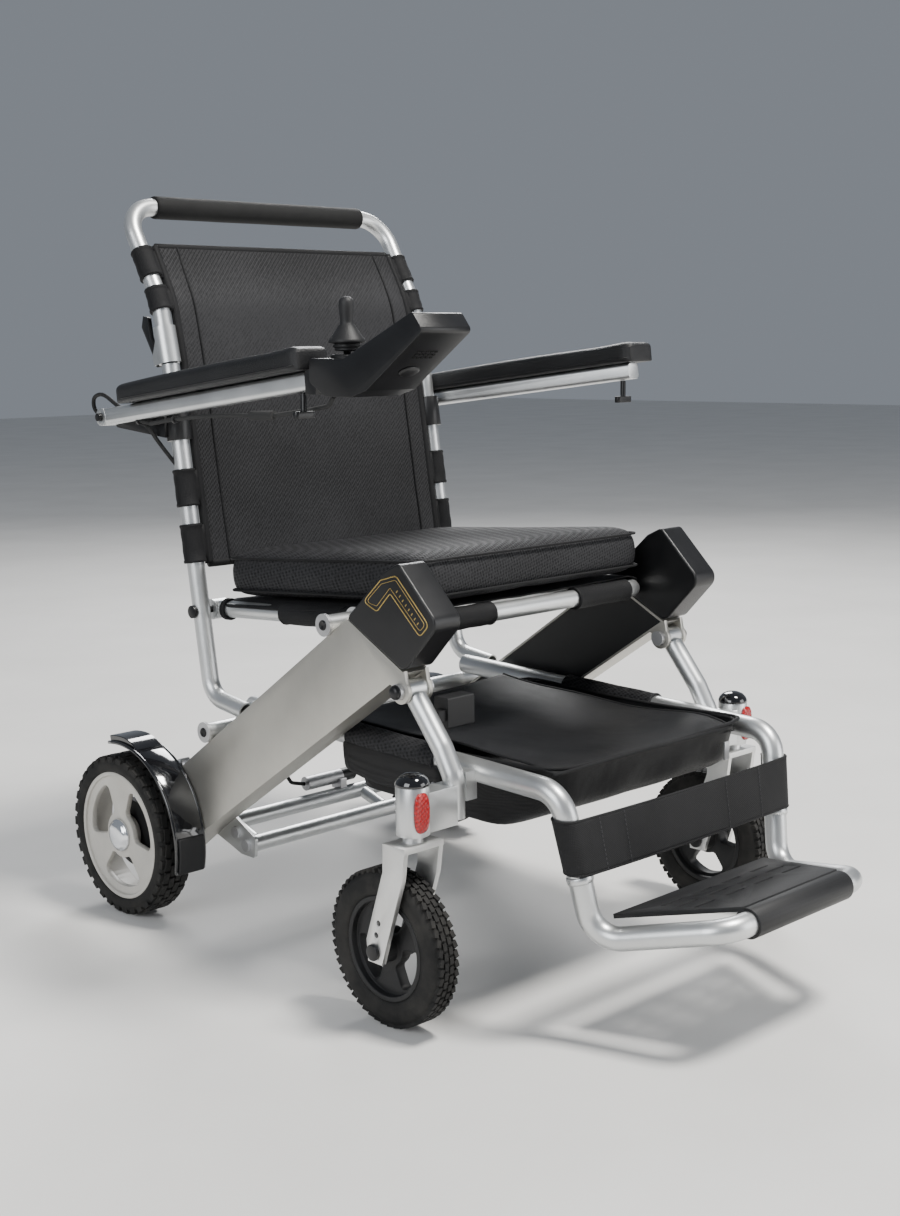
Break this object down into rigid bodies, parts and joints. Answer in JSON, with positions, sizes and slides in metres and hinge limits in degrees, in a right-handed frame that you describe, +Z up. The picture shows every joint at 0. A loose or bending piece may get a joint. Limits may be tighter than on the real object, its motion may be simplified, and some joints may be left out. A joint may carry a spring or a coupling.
{
  "type": "power wheelchair",
  "caption": "Folding powered wheelchair with side-beam frame, front casters, driven rear wheels, padded seat, mesh back, flip-up armrests, joystick and footrest",
  "frame": {"origin": "on the floor, at the middle of the whole footprint", "axes": "+Z up, the chair faces -Y, its right side is -X"},
  "size_m": [0.6182, 0.9606, 0.9183],
  "materials": {
    "beam_paint": "satin champagne-silver powder coat",
    "tube_silver": "satin silver paint over aluminium tube",
    "cap_black": "satin black moulded plastic",
    "fender_black": "glossy black moulded plastic",
    "cover_black": "matte black plate",
    "battery": "wrapped cells",
    "bolt_steel": "zinc plated steel",
    "motor_black": "black cast motor case",
    "tyre": "solid rubber tyre with block tread",
    "rim_grey": "grey-beige moulded rim",
    "chrome_cap": "chrome plated cap",
    "rim_black": "black moulded rim",
    "reflector_red": "red prismatic lens",
    "webbing": "black nylon webbing",
    "bag_nylon": "black coated nylon",
    "seat_mesh": "black air mesh",
    "foam_black": "matte black foam",
    "pad_black": "black leatherette over foam",
    "plate_black": "textured black plastic",
    "controller_black": "satin black moulded case",
    "lead_black": "black cable sheath"
  },
  "bodies": {
    "base": {"side_beams": "beam_paint", "beam_end_caps": "cap_black", "beam_inner_covers": "cover_black", "battery_packs": "battery", "cross_tubes": "tube_silver", "rear_brackets": "bolt_steel", "lower_ladder_frame": "tube_silver", "frame_bolts": "bolt_steel", "motor_housings": "motor_black", "fenders": "fender_black", "lock_barrel": "bolt_steel", "lock_cable": "lead_black"},
    "lock_knob": {"lock_knob": "cap_black"},
    "leg_frame": {"leg_tubes": "tube_silver", "footrest_frame": "tube_silver", "footplate": "plate_black", "caster_housings": "tube_silver", "housing_caps": "cap_black", "reflectors": "reflector_red", "junction_box": "cap_black", "calf_strap": "webbing", "under_seat_bag": "bag_nylon"},
    "seat": {"seat_frame": "tube_silver", "seat_sling": "webbing", "seat_cushion": "seat_mesh"},
    "back_lower": {"lower_posts": "tube_silver", "back_panel_lower": "seat_mesh", "post_fittings": "cap_black"},
    "back_upper": {"push_handle_frame": "tube_silver", "handle_grip": "foam_black", "back_panel_upper": "seat_mesh"},
    "arm_right": {"arm_tube_right": "tube_silver", "arm_pad_right": "pad_black", "controller_case": "controller_black", "controller_lead": "lead_black"},
    "arm_left": {"arm_tube_left": "tube_silver", "arm_pad_left": "pad_black"},
    "power_button": {"power_button": "controller_black"},
    "stick_gimbal": {"stick_gimbal": "bolt_steel"},
    "joystick": {"joystick": "controller_black"},
    "back_lever_right": {"back_lever_right": "cap_black"},
    "rear_wheel_right": {"rear_tyre_right": "tyre", "rear_rim_right": "rim_grey", "hub_cap_right": "chrome_cap"},
    "freewheel_lever_right": {"freewheel_lever_right": "bolt_steel"},
    "caster_right": {"caster_fork_right": "tube_silver", "caster_axle_right": "cap_black"},
    "caster_wheel_right": {"caster_tyre_right": "tyre", "caster_rim_right": "rim_black"},
    "clamp_knob_right": {"clamp_knob_right": "cap_black"},
    "back_lever_left": {"back_lever_left": "cap_black"},
    "rear_wheel_left": {"rear_tyre_left": "tyre", "rear_rim_left": "rim_grey", "hub_cap_left": "chrome_cap"},
    "freewheel_lever_left": {"freewheel_lever_left": "bolt_steel"},
    "caster_left": {"caster_fork_left": "tube_silver", "caster_axle_left": "cap_black"},
    "caster_wheel_left": {"caster_tyre_left": "tyre", "caster_rim_left": "rim_black"},
    "clamp_knob_left": {"clamp_knob_left": "cap_black"}
  },
  "joints": [
    {"name": "leg_fold", "type": "hinge", "parent": "base", "child": "leg_frame", "pos_m": [0, -0.1167, 0.357], "axis": [1, 0, 0], "range_deg": [0, 30]},
    {"name": "seat_fold", "type": "hinge", "parent": "base", "child": "seat", "pos_m": [0, 0.0063, 0.416], "axis": [1, 0, 0], "range_deg": [0, 42.3]},
    {"name": "back_fold", "type": "hinge", "parent": "seat", "child": "back_lower", "pos_m": [0, 0.2803, 0.4], "axis": [1, 0, 0], "range_deg": [-20.5, 0]},
    {"name": "back_upper_fold", "type": "hinge", "parent": "back_lower", "child": "back_upper", "pos_m": [0, 0.3513, 0.708], "axis": [-1, 0, 0], "range_deg": [0, 80]},
    {"name": "arm_right_flip", "type": "hinge", "parent": "back_lower", "child": "arm_right", "pos_m": [-0.247, 0.4223, 0.64], "axis": [-1, 0, 0], "range_deg": [0, 95]},
    {"name": "back_lever_right", "type": "hinge", "parent": "back_upper", "child": "back_lever_right", "pos_m": [-0.214, 0.3513, 0.708], "axis": [-1, 0, 0], "range_deg": [0, 30], "stiffness_Nm_per_rad": 0.3, "springref_deg": -11.46},
    {"name": "rear_wheel_right_spin", "type": "hinge", "parent": "base", "child": "rear_wheel_right", "pos_m": [-0.27, 0.3753, 0.105], "axis": [1, 0, 0], "continuous": true},
    {"name": "freewheel_lever_right_turn", "type": "hinge", "parent": "base", "child": "freewheel_lever_right", "pos_m": [-0.2282, 0.30722, 0.19618], "axis": [0, 0.564, 0.8257], "range_deg": [0, 90]},
    {"name": "caster_right_swivel", "type": "hinge", "parent": "leg_frame", "child": "caster_right", "pos_m": [-0.277, -0.1757, 0.212], "axis": [0, 0, 1], "continuous": true},
    {"name": "caster_wheel_right_spin", "type": "hinge", "parent": "caster_right", "child": "caster_wheel_right", "pos_m": [-0.277, -0.1417, 0.088], "axis": [1, 0, 0], "continuous": true},
    {"name": "clamp_knob_right_turn", "type": "hinge", "parent": "arm_right", "child": "clamp_knob_right", "pos_m": [-0.26719, -0.0007, 0.66711], "axis": [0, 0, 1], "continuous": true},
    {"name": "arm_left_flip", "type": "hinge", "parent": "back_lower", "child": "arm_left", "pos_m": [0.247, 0.4223, 0.64], "axis": [-1, 0, 0], "range_deg": [0, 95]},
    {"name": "back_lever_left", "type": "hinge", "parent": "back_upper", "child": "back_lever_left", "pos_m": [0.214, 0.3513, 0.708], "axis": [-1, 0, 0], "range_deg": [0, 30], "stiffness_Nm_per_rad": 0.3, "springref_deg": -11.46},
    {"name": "rear_wheel_left_spin", "type": "hinge", "parent": "base", "child": "rear_wheel_left", "pos_m": [0.27, 0.3753, 0.105], "axis": [1, 0, 0], "continuous": true},
    {"name": "freewheel_lever_left_turn", "type": "hinge", "parent": "base", "child": "freewheel_lever_left", "pos_m": [0.2282, 0.30722, 0.19618], "axis": [0, 0.564, 0.8257], "range_deg": [0, 90]},
    {"name": "caster_left_swivel", "type": "hinge", "parent": "leg_frame", "child": "caster_left", "pos_m": [0.277, -0.1757, 0.212], "axis": [0, 0, 1], "continuous": true},
    {"name": "caster_wheel_left_spin", "type": "hinge", "parent": "caster_left", "child": "caster_wheel_left", "pos_m": [0.277, -0.1417, 0.088], "axis": [1, 0, 0], "continuous": true},
    {"name": "clamp_knob_left_turn", "type": "hinge", "parent": "arm_left", "child": "clamp_knob_left", "pos_m": [0.26719, -0.0007, 0.66711], "axis": [0, 0, 1], "continuous": true},
    {"name": "lock_knob_pull", "type": "slide", "parent": "base", "child": "lock_knob", "axis": [1, 0, 0], "range_m": [0, 0.01], "stiffness_N_per_m": 200, "springref_m": -0.002},
    {"name": "power_button_press", "type": "slide", "parent": "arm_right", "child": "power_button", "axis": [0, -0.395, -0.9187], "range_m": [0, 0.002], "stiffness_N_per_m": 300, "springref_m": -0.0005},
    {"name": "stick_pitch", "type": "hinge", "parent": "arm_right", "child": "stick_gimbal", "pos_m": [-0.256, -0.0627, 0.708], "axis": [1, 0, 0], "range_deg": [-18, 18], "stiffness_Nm_per_rad": 0.4},
    {"name": "stick_roll", "type": "hinge", "parent": "stick_gimbal", "child": "joystick", "pos_m": [-0.256, -0.0627, 0.708], "axis": [0, 1, 0], "range_deg": [-18, 18], "stiffness_Nm_per_rad": 0.4}
  ],
  "couplings": [
    {"joint": "seat_fold", "follows": "leg_fold", "ratio": 1.393},
    {"joint": "back_fold", "follows": "leg_fold", "ratio": -0.6671}
  ]
}
